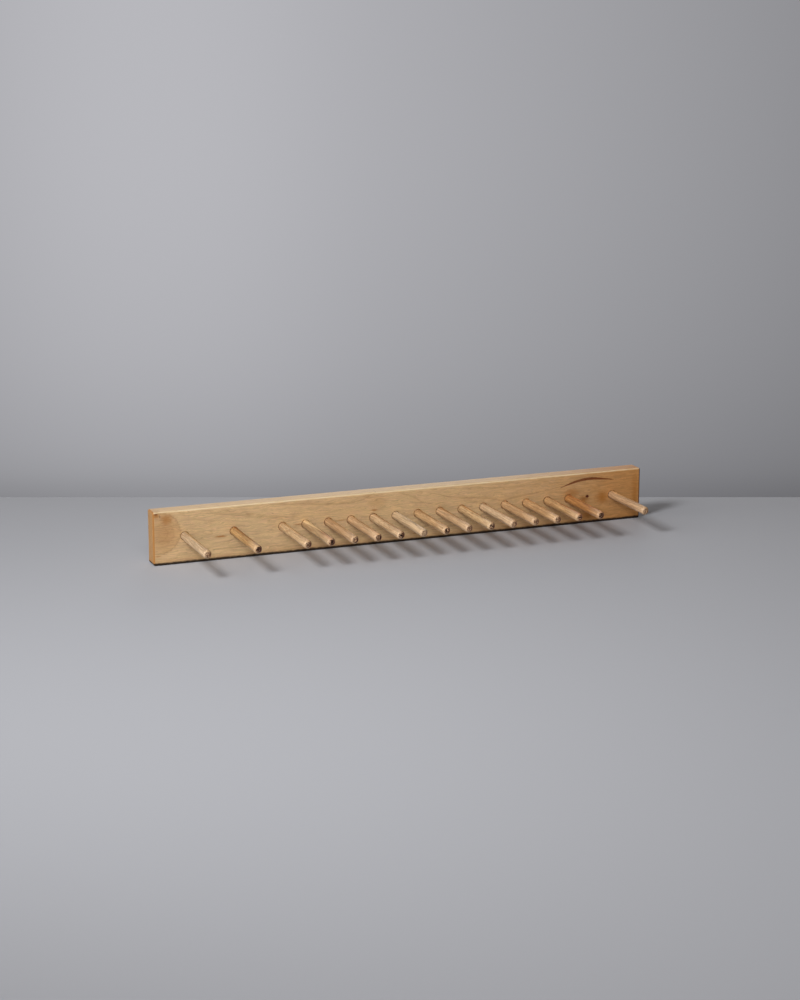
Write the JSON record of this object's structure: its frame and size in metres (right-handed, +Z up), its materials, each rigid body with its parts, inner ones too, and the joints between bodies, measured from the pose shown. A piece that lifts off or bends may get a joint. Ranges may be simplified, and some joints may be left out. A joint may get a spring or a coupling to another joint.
{
  "type": "peg loom",
  "caption": "Peg loom: a long rounded-over hardwood board standing on edge, with a row of lift-out wooden pegs set square in its front face.",
  "frame": {"origin": "middle of the board's bottom edge, halfway through its thickness, on the surface that the loom stands on", "axes": "+X along the board, from the end with the two wide peg gaps to the other; +Y out of the board's back; +Z up the board. The pegs point along -Y"},
  "size_m": [0.61, 0.1096, 0.062],
  "materials": {
    "board_wood": "planed, sanded and oiled maple, satin",
    "peg_wood": "sanded birch dowel, thin oil, satin"
  },
  "bodies": {
    "board": {"board": "board_wood"},
    "peg_01": {"peg_01": "peg_wood"},
    "peg_02": {"peg_02": "peg_wood"},
    "peg_03": {"peg_03": "peg_wood"},
    "peg_04": {"peg_04": "peg_wood"},
    "peg_05": {"peg_05": "peg_wood"},
    "peg_06": {"peg_06": "peg_wood"},
    "peg_07": {"peg_07": "peg_wood"},
    "peg_08": {"peg_08": "peg_wood"},
    "peg_09": {"peg_09": "peg_wood"},
    "peg_10": {"peg_10": "peg_wood"},
    "peg_11": {"peg_11": "peg_wood"},
    "peg_12": {"peg_12": "peg_wood"},
    "peg_13": {"peg_13": "peg_wood"},
    "peg_14": {"peg_14": "peg_wood"},
    "peg_15": {"peg_15": "peg_wood"},
    "peg_16": {"peg_16": "peg_wood"},
    "peg_17": {"peg_17": "peg_wood"}
  },
  "joints": [
    {"name": "peg_01_pull", "type": "slide", "parent": "board", "child": "peg_01", "axis": [0, -1, 0], "range_m": [0, 0.013]},
    {"name": "peg_02_pull", "type": "slide", "parent": "board", "child": "peg_02", "axis": [0, -1, 0], "range_m": [0, 0.013]},
    {"name": "peg_03_pull", "type": "slide", "parent": "board", "child": "peg_03", "axis": [0, -1, 0], "range_m": [0, 0.013]},
    {"name": "peg_04_pull", "type": "slide", "parent": "board", "child": "peg_04", "axis": [0, -1, 0], "range_m": [0, 0.013]},
    {"name": "peg_05_pull", "type": "slide", "parent": "board", "child": "peg_05", "axis": [0, -1, 0], "range_m": [0, 0.013]},
    {"name": "peg_06_pull", "type": "slide", "parent": "board", "child": "peg_06", "axis": [0, -1, 0], "range_m": [0, 0.013]},
    {"name": "peg_07_pull", "type": "slide", "parent": "board", "child": "peg_07", "axis": [0, -1, 0], "range_m": [0, 0.013]},
    {"name": "peg_08_pull", "type": "slide", "parent": "board", "child": "peg_08", "axis": [0, -1, 0], "range_m": [0, 0.013]},
    {"name": "peg_09_pull", "type": "slide", "parent": "board", "child": "peg_09", "axis": [0, -1, 0], "range_m": [0, 0.013]},
    {"name": "peg_10_pull", "type": "slide", "parent": "board", "child": "peg_10", "axis": [0, -1, 0], "range_m": [0, 0.013]},
    {"name": "peg_11_pull", "type": "slide", "parent": "board", "child": "peg_11", "axis": [0, -1, 0], "range_m": [0, 0.013]},
    {"name": "peg_12_pull", "type": "slide", "parent": "board", "child": "peg_12", "axis": [0, -1, 0], "range_m": [0, 0.013]},
    {"name": "peg_13_pull", "type": "slide", "parent": "board", "child": "peg_13", "axis": [0, -1, 0], "range_m": [0, 0.013]},
    {"name": "peg_14_pull", "type": "slide", "parent": "board", "child": "peg_14", "axis": [0, -1, 0], "range_m": [0, 0.013]},
    {"name": "peg_15_pull", "type": "slide", "parent": "board", "child": "peg_15", "axis": [0, -1, 0], "range_m": [0, 0.013]},
    {"name": "peg_16_pull", "type": "slide", "parent": "board", "child": "peg_16", "axis": [0, -1, 0], "range_m": [0, 0.013]},
    {"name": "peg_17_pull", "type": "slide", "parent": "board", "child": "peg_17", "axis": [0, -1, 0], "range_m": [0, 0.013]}
  ]
}
